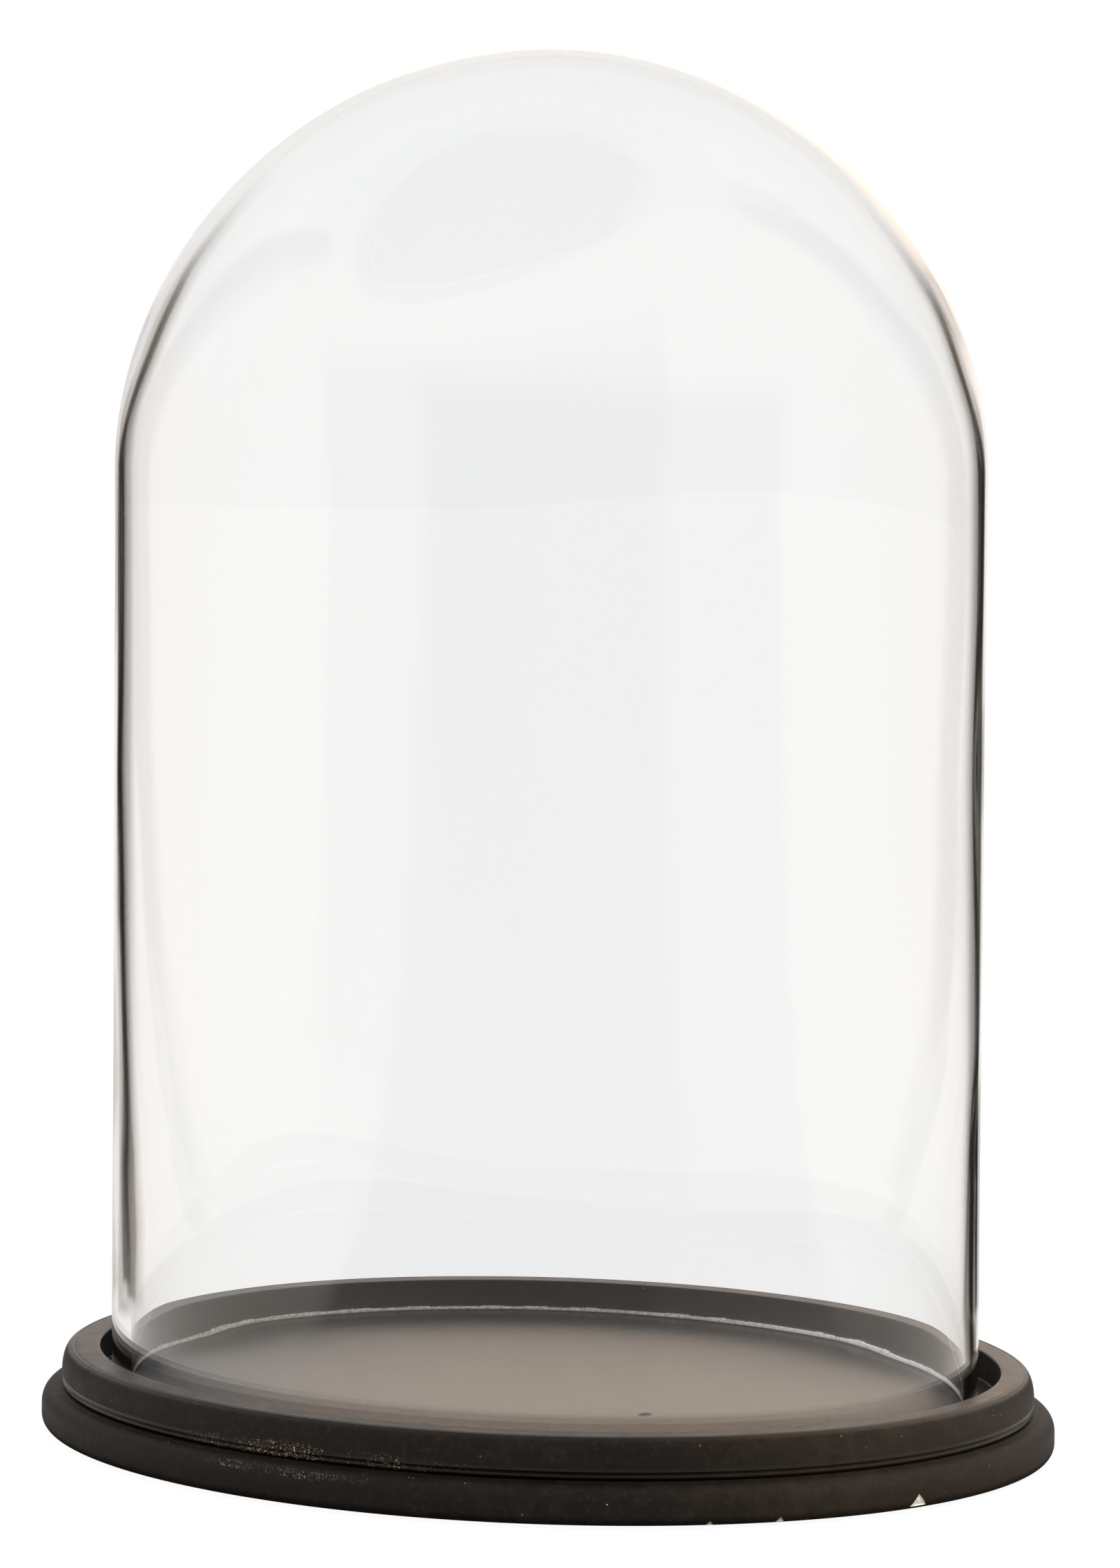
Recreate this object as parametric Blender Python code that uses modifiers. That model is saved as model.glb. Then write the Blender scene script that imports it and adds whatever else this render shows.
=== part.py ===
"""A bell jar: an oval glass dome that stands in the pocket of a two-board moulded wooden base.

Units are metres. +Z is up, the long axis of the oval lies along X, and the origin is at the
centre of the underside, where the felt pads meet the table. The base is two boards, held
together by screws driven up from beneath. The dome is loose: it lifts straight off.
"""

import math

import bmesh
import bpy

# ---- driving dimensions ----------------------------------------------------------------------

GAP = 0.0003                # clearance between pieces that touch
PAD_THICKNESS = 0.0010      # felt under the lower board

RIM_LONG = 0.1418           # half the length of the rim's flat top, to its outer edge
RIM_SHORT = 0.1170          # half its width
BOARD_BOTTOM = PAD_THICKNESS + GAP
SEAM = 0.0122               # top of the lower board
RIM_TOP = 0.0235            # top of the upper board

# Reaches are measured outwards from the outer edge of the rim's flat top.
PLINTH_LEDGE = 0.0032       # where the sloping ledge starts
PLINTH_LEDGE_DROP = 0.0007  # how far the ledge falls before its edge
PLINTH_REACH = 0.0085       # widest line of the lower moulding
PLINTH_EDGE = (0.0026, 0.0042)  # rounding of its upper edge, outwards and upwards
PLINTH_FOOT = (0.0022, 0.0028)  # rounding of its lower edge

TRAY_REACH = 0.0026         # widest line of the upper moulding
TRAY_SHOULDER = 0.0072      # height of the rounded shoulder under the rim
QUIRK_DEPTH = 0.0006        # shallow groove above the bead
BEAD_RADIUS = 0.0007        # bead along the foot of the upper moulding
BEAD_REACH = 0.0021         # centre line of the bead

RIM_WIDTH = 0.0073          # flat top of the rim
RIM_EASE = 0.0004           # eased inner edge of the rim
POCKET_FLOOR = 0.0150       # floor that the dome stands on
POCKET_SHIFT = (0.0005, 0.0008)  # the pocket is cut a little off the middle of the board

DOME_SHIFT = -0.0008        # the loose dome stands a little off the middle, along X
GLASS_INSET = 0.0125        # outer face of the glass, inwards from the rim's outer edge
GLASS_WALL = 0.0024
GLASS_EASE = 0.0005         # ground edges of the glass foot
GLASS_FOOT = POCKET_FLOOR + GAP
SPRING_LINE = 0.2777        # where the straight wall ends and the crown starts
DOME_TOP = 0.3988
CROWN_FULLNESS = 1.95       # 2 is an ellipse, more is squarer

SCREW_COUNT = 6
SCREW_INSET = 0.0036        # screw axes, inwards from the rim's outer edge
SCREW_SINK = 0.0006         # head below the underside of the lower board
SCREW_HEAD_RADIUS = 0.0036
SCREW_HEAD_EDGE = 0.0004
SCREW_HEAD_HEIGHT = 0.0024
SCREW_SHANK_RADIUS = 0.0017
SCREW_LENGTH = 0.0160
SCREW_TAPER = 0.0040
SCREW_TIP_RADIUS = 0.0003
SLOT_WIDTH = 0.0009
SLOT_DEPTH = 0.0009

PAD_COUNT = 4
PAD_RADIUS = 0.0085
PAD_EASE = 0.0002
PAD_PLACE = 0.78            # pad centres, as a share of the rim's half-axes

FLAT_REACH = -0.0200        # where each board's flat faces take over from its moulding
PLAN_STEPS = 18             # segments in each quarter of an oval
CROWN_STEPS = 13
ARC_STEPS = 4
SMALL_SIDES = 16            # sides of the screws
PAD_SIDES = 24
SMOOTH_ANGLE = math.radians(35)


# ---- helpers ---------------------------------------------------------------------------------

def clear_scene():
    for obj in list(bpy.data.objects):
        bpy.data.objects.remove(obj, do_unlink=True)


def new_collection(name):
    made = bpy.data.collections.new(name)
    bpy.context.scene.collection.children.link(made)
    return made


def new_material(name, colour, roughness, metallic=0.0, transmission=0.0):
    material = bpy.data.materials.new(name)
    material.use_nodes = True
    shader = material.node_tree.nodes["Principled BSDF"]
    shader.inputs["Base Color"].default_value = (*colour, 1.0)
    shader.inputs["Roughness"].default_value = roughness
    shader.inputs["Metallic"].default_value = metallic
    shader.inputs["Transmission Weight"].default_value = transmission
    return material


def place(collection, name, mesh, location=(0.0, 0.0, 0.0), material=None):
    obj = bpy.data.objects.new(name, mesh)
    obj.location = location
    collection.objects.link(obj)
    if material:
        mesh.materials.append(material)
    return obj


def mesh_of(obj):
    """The object's shape, modifiers included, as a mesh. The object itself is removed."""
    bpy.context.view_layer.update()
    graph = bpy.context.evaluated_depsgraph_get()
    mesh = bpy.data.meshes.new_from_object(obj.evaluated_get(graph))
    bpy.data.objects.remove(obj, do_unlink=True)
    return mesh


def smooth(mesh):
    for face in mesh.polygons:
        face.use_smooth = True
    mesh.set_sharp_from_angle(angle=SMOOTH_ANGLE)


def arc(centre, radius_out, radius_up, start, end, steps=ARC_STEPS):
    """Points (reach, height) on an arc, with angles in degrees from straight outwards."""
    points = []
    for step in range(steps + 1):
        angle = math.radians(start + (end - start) * step / steps)
        reach = centre[0] + radius_out * math.cos(angle)
        height = centre[1] + radius_up * math.sin(angle)
        points.append((reach, height))
    return points


def new_curve(name, points, cyclic):
    curve = bpy.data.curves.new(name, "CURVE")
    curve.dimensions = "2D"
    spline = curve.splines.new("POLY")
    spline.points.add(len(points) - 1)
    for target, (x, y) in zip(spline.points, points):
        target.co = (x, y, 0.0, 1.0)
    spline.use_cyclic_u = cyclic
    return curve


def oval(half_long, half_short):
    points = []
    for step in range(4 * PLAN_STEPS):
        angle = 2 * math.pi * step / (4 * PLAN_STEPS)
        points.append((half_long * math.cos(angle), half_short * math.sin(angle)))
    return points


def moulded_board(name, profile, collection, material=None):
    """A board whose edge is the profile, swept around the rim's oval, with flat faces inside."""
    # Along an anticlockwise path, a swept section's +X points inwards.
    section = [(-reach, height) for reach, height in profile]
    guide = bpy.data.objects.new(name + "_profile", new_curve(name + "_profile", section, False))
    path = new_curve(name + "_path", oval(RIM_LONG, RIM_SHORT), True)
    path.fill_mode = "NONE"
    path.bevel_mode = "OBJECT"
    path.bevel_object = guide
    collection.objects.link(guide)
    mesh = mesh_of(place(collection, name + "_path", path))
    bpy.data.objects.remove(guide, do_unlink=True)

    shape = bmesh.new()
    shape.from_mesh(mesh)
    bmesh.ops.remove_doubles(shape, verts=shape.verts, dist=1e-6)
    bmesh.ops.holes_fill(shape, edges=shape.edges, sides=0)
    bmesh.ops.recalc_face_normals(shape, faces=shape.faces)
    shape.to_mesh(mesh)
    shape.free()
    mesh.materials.clear()
    smooth(mesh)
    return place(collection, name, mesh, material=material)


def turned(name, profile, sides, collection):
    """A turned mesh: the profile, given as (radius, height) from top to bottom, about Z."""
    mesh = bpy.data.meshes.new(name)
    points = [(radius, 0.0, height) for radius, height in profile]
    edges = [(index, index + 1) for index in range(len(profile) - 1)]
    mesh.from_pydata(points, edges, [])
    lathe = place(collection, name + "_lathe", mesh)
    turn = lathe.modifiers.new("turn", "SCREW")
    turn.steps = sides
    turn.render_steps = sides
    turn.use_merge_vertices = True
    turn.merge_threshold = 0.00005
    return mesh_of(lathe)


def cut(obj, cutters):
    remove = obj.modifiers.new("cut", "BOOLEAN")
    remove.operation = "DIFFERENCE"
    remove.solver = "EXACT"
    remove.operand_type = "COLLECTION"
    remove.collection = cutters


def screw_places():
    places = []
    for number in range(SCREW_COUNT):
        angle = 2 * math.pi * (number + 0.5) / SCREW_COUNT
        x = (RIM_LONG - SCREW_INSET) * math.cos(angle)
        y = (RIM_SHORT - SCREW_INSET) * math.sin(angle)
        places.append((x, y, BOARD_BOTTOM + SCREW_SINK))
    return places


# ---- pieces ----------------------------------------------------------------------------------

def plinth_profile():
    """Lower board: flat top, gently sloping ledge, rounded edge, upright side, rounded foot."""
    edge = (PLINTH_REACH - PLINTH_EDGE[0], SEAM - PLINTH_LEDGE_DROP - PLINTH_EDGE[1])
    foot = (PLINTH_REACH - PLINTH_FOOT[0], BOARD_BOTTOM + PLINTH_FOOT[1])
    return (
        [(FLAT_REACH, SEAM), (PLINTH_LEDGE, SEAM)]
        + arc(edge, *PLINTH_EDGE, 90, 0)
        + arc(foot, *PLINTH_FOOT, 0, -90)
        + [(FLAT_REACH, BOARD_BOTTOM)]
    )


def tray_profile():
    """Upper board before its pocket is cut: flat top, rounded shoulder, quirk, bead."""
    underside = SEAM + GAP
    bead = (BEAD_REACH - BEAD_RADIUS, underside + BEAD_RADIUS)
    quirk = bead[1] + BEAD_RADIUS
    return (
        [(FLAT_REACH, RIM_TOP)]
        + arc((0.0, RIM_TOP - TRAY_SHOULDER), TRAY_REACH, TRAY_SHOULDER, 90, 0)
        + [(TRAY_REACH, quirk + 2 * QUIRK_DEPTH), (TRAY_REACH - QUIRK_DEPTH, quirk)]
        + arc(bead, BEAD_RADIUS, BEAD_RADIUS, 60, -90)
        + [(FLAT_REACH, underside)]
    )


def pocket_profile():
    """The space of the pocket, with its eased mouth, carried on up above the rim."""
    wall = -RIM_WIDTH - RIM_EASE
    return [
        (FLAT_REACH, RIM_TOP + RIM_EASE),
        (wall + 2 * RIM_EASE, RIM_TOP + RIM_EASE),
        (wall, RIM_TOP - RIM_EASE),
        (wall, POCKET_FLOOR),
        (FLAT_REACH, POCKET_FLOOR),
    ]


def crown_profile():
    """Outer face of the dome, as (radius, height) from its top down to its foot."""
    rise = DOME_TOP - SPRING_LINE
    radius = RIM_LONG - GLASS_INSET
    points = []
    for step in range(CROWN_STEPS + 1):
        angle = math.pi / 2 * step / CROWN_STEPS
        out = math.sin(angle) ** (2 / CROWN_FULLNESS)
        up = max(0.0, math.cos(angle)) ** (2 / CROWN_FULLNESS)
        points.append((radius * out, SPRING_LINE + rise * up - GLASS_FOOT))
    points.append((radius, 0.0))
    return points


def make_dome(collection, material):
    mesh = turned("glass_dome", crown_profile(), 4 * PLAN_STEPS, collection)
    narrow = (RIM_SHORT - GLASS_INSET) / (RIM_LONG - GLASS_INSET)
    for vertex in mesh.vertices:
        vertex.co.y *= narrow
    smooth(mesh)
    dome = place(collection, "glass_dome", mesh, (DOME_SHIFT, 0.0, GLASS_FOOT), material)
    wall = dome.modifiers.new("wall", "SOLIDIFY")
    wall.thickness = GLASS_WALL
    wall.offset = -1.0
    wall.use_even_offset = True
    ground = dome.modifiers.new("ground_foot", "BEVEL")
    ground.limit_method = "ANGLE"
    ground.angle_limit = math.radians(60)
    ground.width = GLASS_EASE
    ground.segments = 2
    return dome


def screw_profile(spare):
    """Countersunk head down, tip up, grown by the spare clearance."""
    head = SCREW_HEAD_RADIUS + spare
    shank = SCREW_SHANK_RADIUS + spare
    top = SCREW_LENGTH + spare
    return [
        (0.0, top),
        (SCREW_TIP_RADIUS + spare, top),
        (shank, SCREW_LENGTH - SCREW_TAPER),
        (shank, SCREW_HEAD_HEIGHT),
        (head, SCREW_HEAD_EDGE),
        (head, 0.0),
        (0.0, 0.0),
    ]


def bore_profile():
    """The hole for a screw: its outline with clearance, carried on out through the underside."""
    outline = screw_profile(GAP)
    out = -2 * SCREW_SINK
    return outline[:-2] + [(outline[-2][0], out), (0.0, out)]


def make_screws(collection, cutters, material):
    slot_mesh = bpy.data.meshes.new("slot")
    shape = bmesh.new()
    bmesh.ops.create_cube(shape, size=1.0)
    size = (4 * SCREW_HEAD_RADIUS, SLOT_WIDTH, 2 * SLOT_DEPTH)
    bmesh.ops.scale(shape, vec=size, verts=shape.verts)
    shape.to_mesh(slot_mesh)
    shape.free()
    for number, location in enumerate(screw_places(), start=1):
        mesh = turned("screw", screw_profile(0.0), SMALL_SIDES, collection)
        smooth(mesh)
        screw = place(collection, f"screw_{number}", mesh, location, material)
        slot = place(cutters, f"slot_{number}", slot_mesh.copy(), location)
        slot.rotation_euler.z = number * 1.1
        remove = screw.modifiers.new("slot", "BOOLEAN")
        remove.operation = "DIFFERENCE"
        remove.solver = "EXACT"
        remove.object = slot


def make_bores(cutters):
    for number, location in enumerate(screw_places(), start=1):
        mesh = turned("bore", bore_profile(), SMALL_SIDES, cutters)
        place(cutters, f"bore_{number}", mesh, location)


def make_pads(collection, material):
    profile = [
        (0.0, PAD_THICKNESS),
        (PAD_RADIUS, PAD_THICKNESS),
        (PAD_RADIUS, PAD_EASE),
        (PAD_RADIUS - PAD_EASE, 0.0),
        (0.0, 0.0),
    ]
    for number in range(PAD_COUNT):
        angle = 2 * math.pi * (number + 0.5) / PAD_COUNT
        x = PAD_PLACE * RIM_LONG * math.cos(angle)
        y = PAD_PLACE * RIM_SHORT * math.sin(angle)
        mesh = turned("pad", profile, PAD_SIDES, collection)
        smooth(mesh)
        place(collection, f"felt_pad_{number + 1}", mesh, (x, y, 0.0), material)


def main():
    clear_scene()
    pieces = new_collection("bell_jar_dome")
    bores = new_collection("bores")
    pockets = new_collection("pockets")
    slots = new_collection("slots")

    wood = (0.020, 0.014, 0.011)
    clear = new_material("clear_glass", (0.95, 0.98, 0.96), 0.02, transmission=1.0)
    upper_wood = new_material("tray_wood", wood, 0.38)
    lower_wood = new_material("plinth_wood", wood, 0.42)
    steel = new_material("screw_steel", (0.46, 0.44, 0.40), 0.35, metallic=1.0)
    felt = new_material("pad_felt", (0.030, 0.030, 0.032), 0.95)

    make_bores(bores)
    pocket = moulded_board("pocket", pocket_profile(), pockets)
    pocket.location = (*POCKET_SHIFT, 0.0)
    plinth = moulded_board("plinth_board", plinth_profile(), pieces, lower_wood)
    tray = moulded_board("tray_board", tray_profile(), pieces, upper_wood)
    cut(plinth, bores)
    cut(tray, bores)
    cut(tray, pockets)
    make_dome(pieces, clear)
    make_screws(pieces, slots, steel)
    make_pads(pieces, felt)

    for cutters in (bores, pockets, slots):
        cutters.hide_render = True
        for obj in cutters.objects:
            obj.hide_render = True
            obj.display_type = "WIRE"


main()
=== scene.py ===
"""Looks of the bell jar: an oval glass dome on a black-brown stained, moulded wooden base."""

import math

import bmesh
import bpy
import numpy as np
from mathutils import Matrix, Vector


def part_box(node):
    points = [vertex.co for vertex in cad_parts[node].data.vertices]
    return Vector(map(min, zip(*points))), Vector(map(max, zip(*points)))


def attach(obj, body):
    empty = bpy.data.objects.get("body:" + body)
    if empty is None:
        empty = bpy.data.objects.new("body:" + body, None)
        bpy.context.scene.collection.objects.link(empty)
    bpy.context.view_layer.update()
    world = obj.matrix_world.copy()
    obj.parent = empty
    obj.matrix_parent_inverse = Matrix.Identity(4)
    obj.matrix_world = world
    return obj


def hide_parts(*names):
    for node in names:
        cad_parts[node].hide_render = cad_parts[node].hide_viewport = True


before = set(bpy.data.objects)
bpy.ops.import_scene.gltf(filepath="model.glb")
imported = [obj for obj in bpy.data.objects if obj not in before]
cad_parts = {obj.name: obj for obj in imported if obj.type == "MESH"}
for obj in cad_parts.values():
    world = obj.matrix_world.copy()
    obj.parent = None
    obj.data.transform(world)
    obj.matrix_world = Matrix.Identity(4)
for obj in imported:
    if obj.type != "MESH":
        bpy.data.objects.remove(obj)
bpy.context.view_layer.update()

# ---- dimensions, in metres, in the frame of the CAD --------------------------------------------

RIM_LONG, RIM_SHORT = 0.1418, 0.1170  # half-axes of the rim's flat top, to its outer edge
RIM_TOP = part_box("tray_board")[1].z
BOARD_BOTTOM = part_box("plinth_board")[0].z
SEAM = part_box("plinth_board")[1].z
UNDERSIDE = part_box("tray_board")[0].z
GAP = 0.0003  # clearance between pieces that touch
RIM_WIDTH = 0.0073
RIM_EASE = 0.0004
POCKET_FLOOR = 0.0150
POCKET_SHIFT = (0.0005, 0.0008)
PLINTH_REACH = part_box("plinth_board")[1].x - RIM_LONG
TRAY_REACH = 0.0026
FLAT_REACH = -0.0200

SCREW_COUNT = 6
SCREW_HEAD_EDGE = 0.0004
SCREW_HEAD_HEIGHT = 0.0024
SCREW_SHANK_RADIUS = 0.0017
BORE_SIDES = 32
BORE_RUN_OUT = 0.0020  # how far the cutter for a bore runs on below the screw's head
PAD_COUNT = 4

GLASS_WALL = 0.0024
GLASS_INSET = 0.0125
GLASS_SHIFT = -0.0008
GLASS_HALF = RIM_LONG - GLASS_INSET
GLASS_HALF_SHORT = RIM_SHORT - GLASS_INSET
GLASS_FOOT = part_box("glass_dome")[0].z
GLASS_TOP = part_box("glass_dome")[1].z
SPRING_LINE = 0.2777
CROWN_FULLNESS = 1.95
GLASS_TAPER = 0.005  # share by which the dome narrows on the way up
TAPER_START, TAPER_RUN = 0.02, 0.19  # the height where that starts, and how far it goes on
LIP_HEIGHT = 0.0006
LIP_FULLNESS = 0.45
GROUND_STEP = 0.0002  # between the rings of points in the ground band

VIEW_TURN = math.radians(24.573)  # the camera stands this far round from the -Y side
BACK = Vector((-math.sin(VIEW_TURN), math.cos(VIEW_TURN), 0.0))
SIDE = Vector((math.cos(VIEW_TURN), math.sin(VIEW_TURN), 0.0))

AROUND = 720  # points round the mouldings
GLASS_AROUND = 720
WALL_RINGS, CROWN_RINGS, FOOT_RINGS, LIP_RINGS = 90, 96, 7, 11
MM = 0.001
TINY = 1e-9


# ---- small helpers -----------------------------------------------------------------------------

def arc(centre, radii, start, end, steps):
    """Points (reach, height) on an elliptical arc, in degrees from straight outwards."""
    points = []
    for angle in np.radians(np.linspace(start, end, steps + 1)):
        reach = centre[0] + radii[0] * math.cos(angle)
        height = centre[1] + radii[1] * math.sin(angle)
        points.append((reach, height))
    return points


def line(start, end, steps):
    """Points on a straight run, without its first point."""
    shares = np.linspace(0, 1, steps + 1)[1:]
    return [tuple(np.add(start, np.subtract(end, start) * share)) for share in shares]


def waves(angle, seed, count=7, lowest=2):
    """A smooth closed curve of mixed waves round the oval, about -1 to 1."""
    random = np.random.default_rng(seed)
    total = np.zeros_like(angle)
    for number in range(lowest, lowest + count):
        size, phase = random.uniform(0.4, 1.0), random.uniform(0, 2 * math.pi)
        total += size * np.sin(number * angle + phase)
    return total / math.sqrt(count)


def attribute(mesh, name, values):
    layer = mesh.attributes.new(name, "FLOAT", "POINT")
    layer.data.foreach_set("value", np.asarray(values, np.float32))


def new_object(name, mesh):
    obj = bpy.data.objects.new(name, mesh)
    bpy.context.scene.collection.objects.link(obj)
    return obj


def grid_faces(rings, around, flip=False):
    """Quads that join neighbouring rings of points, closed round each ring."""
    faces = []
    for ring in range(rings - 1):
        for step in range(around):
            after = (step + 1) % around
            quad = (
                ring * around + step,
                ring * around + after,
                (ring + 1) * around + after,
                (ring + 1) * around + step,
            )
            faces.append(quad[::-1] if flip else quad)
    return faces


def solid_mesh(name, points, faces):
    """A smooth mesh of these points and faces, with every face turned outwards."""
    mesh = bpy.data.meshes.new(name)
    mesh.from_pydata([tuple(point) for point in points], [], faces)
    shape = bmesh.new()
    shape.from_mesh(mesh)
    bmesh.ops.recalc_face_normals(shape, faces=shape.faces)
    shape.to_mesh(mesh)
    shape.free()
    for face in mesh.polygons:
        face.use_smooth = True
    return mesh


def capped(faces, rings, around, flip=False):
    """The faces with one more across the first ring and one across the last."""
    last = (rings - 1) * around
    first_cap = tuple(range(around))
    last_cap = tuple(range(last, last + around))
    caps = [first_cap, last_cap[::-1]] if flip else [first_cap[::-1], last_cap]
    return faces + caps


# ---- mouldings ---------------------------------------------------------------------------------

BOARD_CREASE = math.radians(42)
CHIP_SPAN = 0.03  # half the turn round the oval that gets the chip's finer points
CHIP_POINTS = 61
CHIP_REACH = 0.005  # chips are cut further out than this
CHIP_RISE, CHIP_FLARE = 0.62, 0.70
CHIP_SMALLER = 1.5
CHIP_CUT, CHIP_BARE = 2.5, 6  # how steeply the cut deepens, and how steeply the wood turns bare


def rim_ring(angle):
    """Points of the rim's oval at these angles, and the outward normals there."""
    points = np.stack([RIM_LONG * np.cos(angle), RIM_SHORT * np.sin(angle)], axis=1)
    normals = np.stack([np.cos(angle) / RIM_LONG, np.sin(angle) / RIM_SHORT], axis=1)
    normals /= np.linalg.norm(normals, axis=1)[:, None]
    return points, normals


def swept(name, profile, shape_point, chips=()):
    """A board: the profile swept round the rim's oval, closed above and below.

    Each chip is (turn round the oval, height, radius, depth), and is a triangle, point up.
    """
    angle = np.linspace(0, 2 * math.pi, AROUND, endpoint=False)
    for chip in chips:
        angle = np.append(angle, chip[0] + np.linspace(-CHIP_SPAN, CHIP_SPAN, CHIP_POINTS))
    angle = np.unique(np.round(np.mod(angle, 2 * math.pi), 6))
    around = len(angle)
    points, normals = rim_ring(angle)
    rings = []
    for place in profile:
        reach, height, shift = shape_point(place, angle)
        flat = points + normals * reach[:, None] + shift
        rings.append(np.column_stack([flat, height]))
    vertices = np.array(rings)
    chipped = np.zeros(vertices.shape[:2])
    outward = np.column_stack([normals, np.zeros(around)])
    reach = ((vertices[:, :, :2] - points) * normals).sum(axis=2)
    for turn, height, radius, depth in chips:
        aside = np.abs(np.mod(angle - turn + math.pi, 2 * math.pi) - math.pi)
        column = int(np.argmin(aside))
        outer = np.where(reach[:, column] > CHIP_REACH, np.abs(vertices[:, column, 2] - height), 1.0)
        centre = vertices[int(np.argmin(outer)), column].copy()
        away = vertices - centre
        along = np.abs(away[:, :, 0] * -normals[column, 1] + away[:, :, 1] * normals[column, 0])
        gap = np.maximum(-away[:, :, 2], CHIP_RISE * away[:, :, 2] + CHIP_FLARE * along)
        share = np.clip(1 - (CHIP_SMALLER * gap / radius) ** 2, 0, 1) * (aside < CHIP_SPAN)
        vertices -= outward[None] * (depth * np.minimum(1, share * CHIP_CUT))[:, :, None]
        chipped = np.maximum(chipped, np.minimum(1, share * CHIP_BARE))
    faces = capped(grid_faces(len(profile), around), len(profile), around)
    mesh = solid_mesh(name, vertices.reshape(-1, 3), faces)
    attribute(mesh, "chipped", chipped.ravel())
    mesh.set_sharp_from_angle(angle=BOARD_CREASE)
    return new_object(name, mesh)


def edge_wear(obj, lines, spread):
    """How near each point is to one of the worn lines of the profile, 0 to 1."""
    count = len(obj.data.vertices)
    co = np.zeros(count * 3)
    obj.data.vertices.foreach_get("co", co)
    co = co.reshape(-1, 3)
    turn = np.arctan2(co[:, 1] / RIM_SHORT, co[:, 0] / RIM_LONG)
    points, normals = rim_ring(turn)
    reach = ((co[:, :2] - points) * normals).sum(axis=1)
    worn = np.zeros(count)
    for line_reach, line_height in lines:
        gap = np.hypot(reach - line_reach, co[:, 2] - line_height)
        worn = np.maximum(worn, np.exp(-((gap / spread) ** 2)))
    attribute(obj.data, "worn", worn)


# The upper board's profile: reaches are outwards from the rim's outer edge.
FLOOR_REACH = -0.0120  # the pocket floor's outermost plain point
POCKET_EASE = 0.0005  # rounding at the foot and at the mouth of the pocket's wall
RIM_FLAT_END = -0.0012
SCRIBE = ((-0.0010, 0.00012), (-0.0008, 0.00012), (-0.0006, 0.0))  # fine line: reach and depth
EDGE_EASE = 0.0004
SHOULDER_DROP, SHOULDER_RISE = 0.0072, 0.0069
QUIRK = ((0.0, 0.0030), (-0.0001, 0.0022), (-0.0007, 0.0018), (-0.0008, 0.0016))
BEAD_PLACE, BEAD_RADII = (0.0014, 0.0008), (0.0009, 0.0008)
PLAIN_RIM = 0.0030  # outer part of the rim that the pocket's shift leaves alone
TRAY_WOBBLE, RIM_HOLLOWS = 0.00005, 0.00004


def tray_board():
    """Upper board: pocket floor, pocket wall, flat rim, rounded shoulder, quirk and bead."""
    wall = -RIM_WIDTH - RIM_EASE
    ease = (POCKET_EASE, POCKET_EASE)
    inner = [(FLAT_REACH, POCKET_FLOOR), (FLOOR_REACH, POCKET_FLOOR)]
    inner += arc((wall - POCKET_EASE, POCKET_FLOOR + POCKET_EASE), ease, -90, 0, 4)
    inner += line((wall, POCKET_FLOOR + POCKET_EASE), (wall, RIM_TOP - POCKET_EASE), 5)
    mouth = arc((wall + POCKET_EASE, RIM_TOP - POCKET_EASE), (-POCKET_EASE, POCKET_EASE), 0, 90, 4)
    flat = line(mouth[-1], (RIM_FLAT_END, RIM_TOP), 6)
    scribe = [(reach, RIM_TOP - depth) for reach, depth in SCRIBE]
    edge = arc((-EDGE_EASE, RIM_TOP - EDGE_EASE), (EDGE_EASE, EDGE_EASE), 90, 35, 3)
    shoulder = arc((0.0, RIM_TOP - SHOULDER_DROP), (TRAY_REACH, SHOULDER_RISE), 82, 0, 14)
    quirk = [(TRAY_REACH + reach, UNDERSIDE + height) for reach, height in QUIRK]
    bead = arc((BEAD_PLACE[0], UNDERSIDE + BEAD_PLACE[1]), BEAD_RADII, 60, -90, 8)
    base = [(0.0, UNDERSIDE), (FLAT_REACH, UNDERSIDE)]
    profile = [(reach, height, 1.0) for reach, height in inner + mouth[1:]]
    for reach, height in flat + scribe + edge + shoulder + quirk + bead + base:
        share = min(1.0, max(0.0, (-reach - PLAIN_RIM) / (RIM_WIDTH - PLAIN_RIM)))
        share = share if height > POCKET_FLOOR else 0.0
        profile.append((reach, height, share))

    def shape_point(place, angle):
        reach, height, share = place
        outside = 1.0 if reach > -0.002 and height < RIM_TOP - 0.0001 else 0.0
        wobble = TRAY_WOBBLE * waves(angle, 11) * outside
        level = RIM_HOLLOWS * waves(angle, 12, lowest=3) * (height > RIM_TOP - 0.0008)
        return reach + wobble, height + np.minimum(level, 0), np.array(POCKET_SHIFT) * share

    obj = swept("tray_board_wood", profile, shape_point)
    lines = [(-0.0002, RIM_TOP), (0.0022, UNDERSIDE + 0.0012), (wall + 0.0003, RIM_TOP)]
    edge_wear(obj, lines, spread=0.0014)
    return obj


# Marks in the wood: rubbed wear, partly painted highlight, with painted glints. A rub is (centre, sizes,
# threshold of the broken colour, colour).
STAIN_SPOT = (0.0455, -0.0297, POCKET_FLOOR)
STAIN_SIZES = (0.0022, 0.0030, 0.004)
BEAD_RUB_AND_HIGHLIGHT = ((-0.016, -0.118, UNDERSIDE + 0.0018), (0.056, 0.022, 0.0036), 0.55, (0.085, 0.058, 0.036))
SHOULDER_RUB_AND_HIGHLIGHT = ((-0.024, -0.124, SEAM - 0.0022), (0.034, 0.012, 0.0016), 0.57, (0.13, 0.10, 0.080))

# Chips in the lower edge: angle round the oval, height, radius and depth.
CHIPS = (
    (math.radians(-24.6), BOARD_BOTTOM + 0.0020, 0.0019, 0.0006),
    (math.radians(-42.8), BOARD_BOTTOM + 0.0008, 0.0008, 0.0004),
    (math.radians(-50.8), BOARD_BOTTOM + 0.0006, 0.0007, 0.0004),
)

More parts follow.
